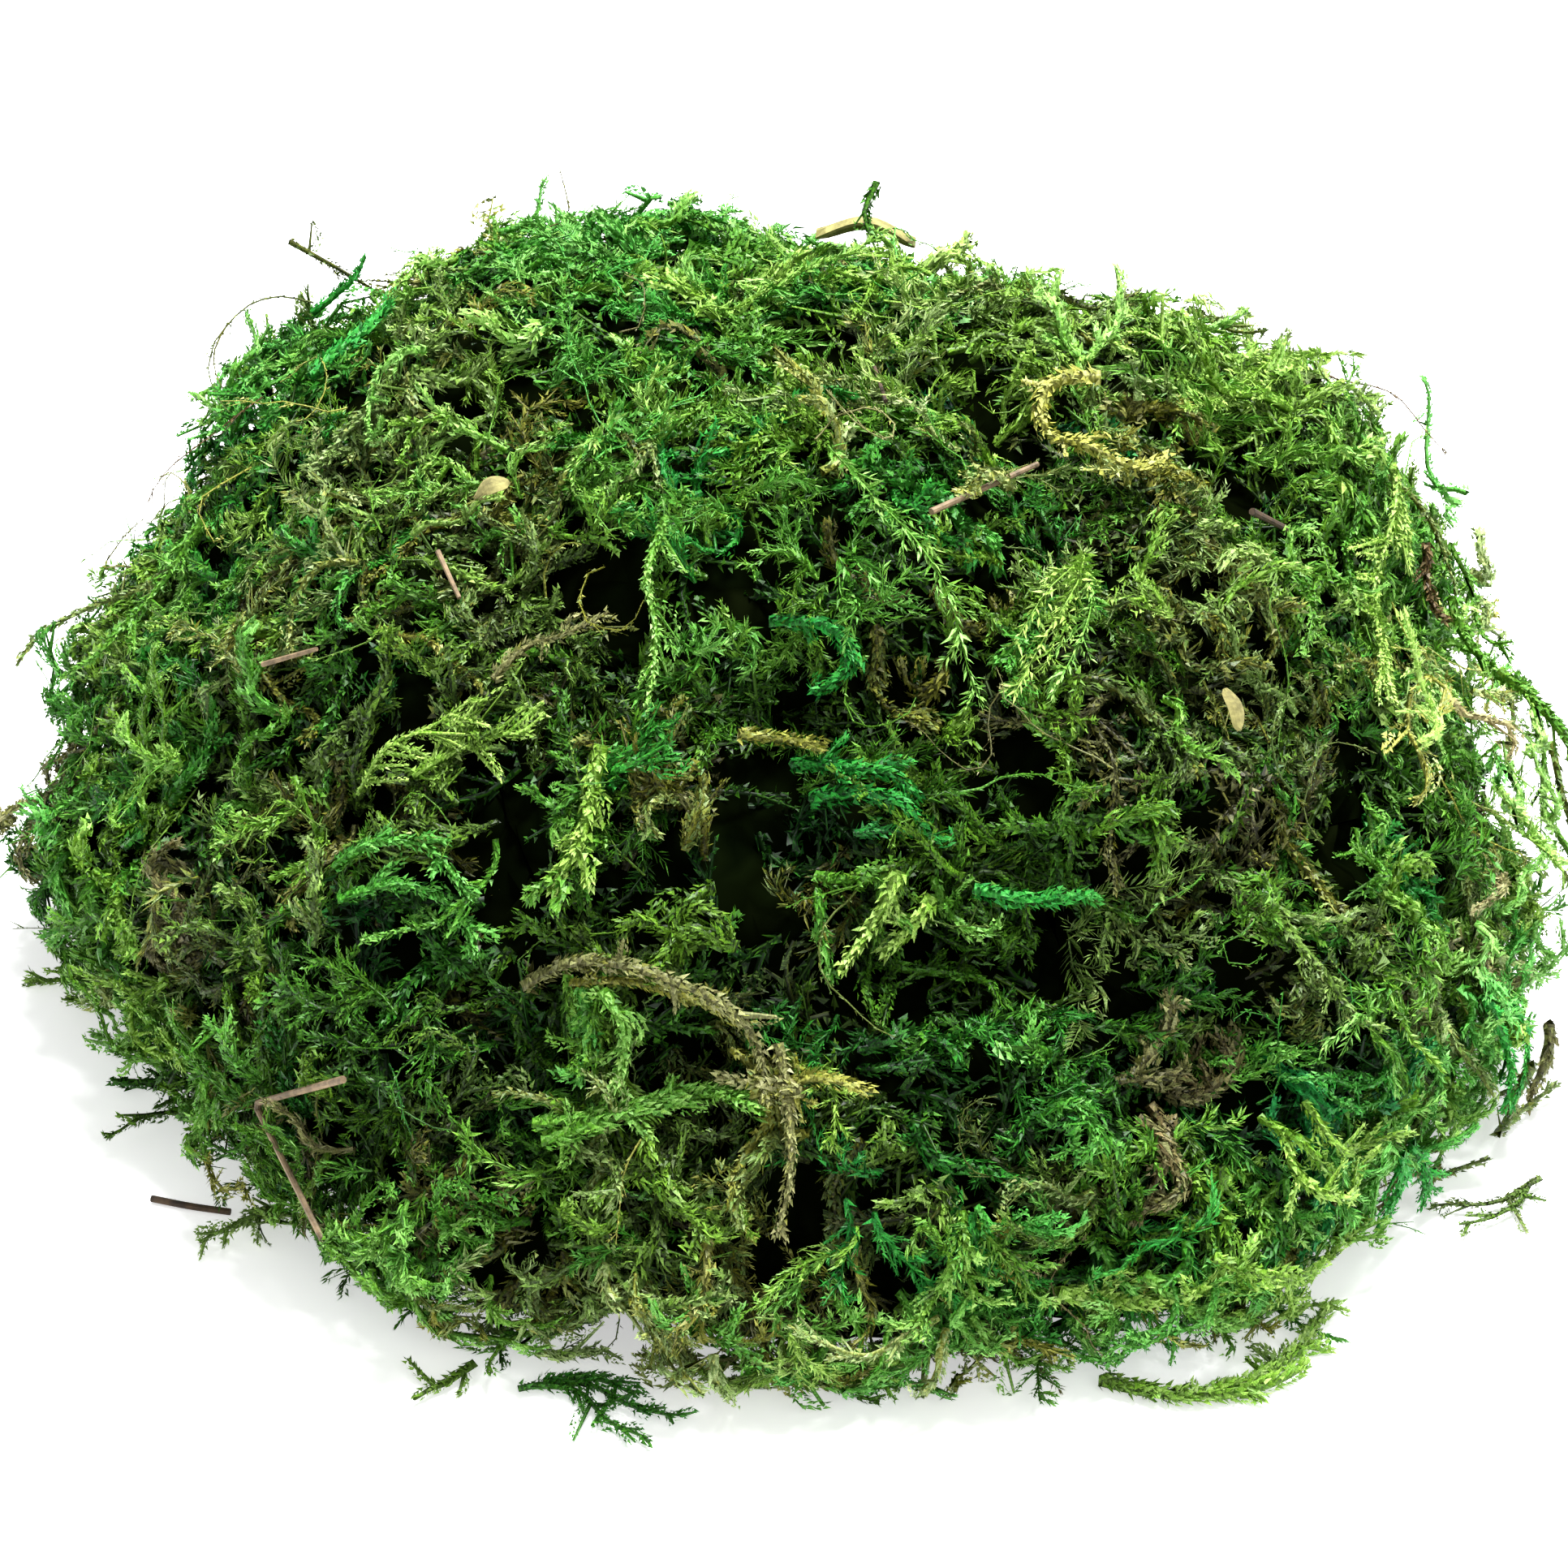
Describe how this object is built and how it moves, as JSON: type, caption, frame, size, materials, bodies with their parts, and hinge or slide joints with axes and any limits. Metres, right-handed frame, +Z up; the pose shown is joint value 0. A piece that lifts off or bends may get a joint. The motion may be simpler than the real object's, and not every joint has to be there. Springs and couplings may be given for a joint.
{
  "type": "moss clump",
  "caption": "Loose heap of dried, dyed feather moss with a flat underside, for lining pots, baskets and model landscapes.",
  "frame": {"origin": "middle of the heap's box, on the floor that it lies on", "axes": "+Z up out of the floor, +X to the right and -Y to the front as the heap is usually seen"},
  "size_m": [0.272, 0.2582, 0.1208],
  "materials": {
    "crown_moss": "matt dyed feather moss, the lightest of the heap",
    "shoulder_moss": "matt dyed feather moss",
    "flank_moss": "matt dyed feather moss, darker and more olive",
    "foot_moss": "matt dyed feather moss with lime and teal shoots",
    "sprig_moss": "matt, single shoots",
    "dry_straw": "dull tan straw",
    "dark_twig": "dull dark brown bark",
    "dried_leaf_paper": "papery dry leaf"
  },
  "bodies": {
    "root": {"arching_strand_back": "sprig_moss", "back_straw": "dry_straw", "bent_straw": "dry_straw", "bud_husk": "dried_leaf_paper", "crown_tuft_1": "crown_moss", "crown_tuft_2": "crown_moss", "crown_tuft_3": "crown_moss", "dark_twig_top": "dark_twig", "dried_leaf": "dried_leaf_paper", "flank_tuft_1": "flank_moss", "flank_tuft_10": "flank_moss", "flank_tuft_2": "flank_moss", "flank_tuft_3": "flank_moss", "flank_tuft_4": "flank_moss", "flank_tuft_5": "flank_moss", "flank_tuft_6": "flank_moss", "flank_tuft_7": "flank_moss", "flank_tuft_8": "flank_moss", "flank_tuft_9": "flank_moss", "foot_sprig_back": "sprig_moss", "foot_sprig_front": "sprig_moss", "foot_sprig_front_left": "sprig_moss", "foot_sprig_front_right": "sprig_moss", "foot_sprig_right": "sprig_moss", "foot_tuft_1": "foot_moss", "foot_tuft_10": "foot_moss", "foot_tuft_11": "foot_moss", "foot_tuft_12": "foot_moss", "foot_tuft_2": "foot_moss", "foot_tuft_3": "foot_moss", "foot_tuft_4": "foot_moss", "foot_tuft_5": "foot_moss", "foot_tuft_6": "foot_moss", "foot_tuft_7": "foot_moss", "foot_tuft_8": "foot_moss", "foot_tuft_9": "foot_moss", "foot_twig": "dark_twig", "hanging_strand_left": "sprig_moss", "hanging_strand_right": "sprig_moss", "long_straw": "dry_straw", "short_straw_left": "dry_straw", "short_straw_middle": "dry_straw", "shoulder_tuft_1": "shoulder_moss", "shoulder_tuft_2": "shoulder_moss", "shoulder_tuft_3": "shoulder_moss", "shoulder_tuft_4": "shoulder_moss", "shoulder_tuft_5": "shoulder_moss", "shoulder_tuft_6": "shoulder_moss", "shoulder_tuft_7": "shoulder_moss", "small_leaf_scrap": "dried_leaf_paper", "twig_right": "dark_twig", "upright_sprig_crown": "sprig_moss", "upright_sprig_left": "sprig_moss"}
  },
  "joints": []
}
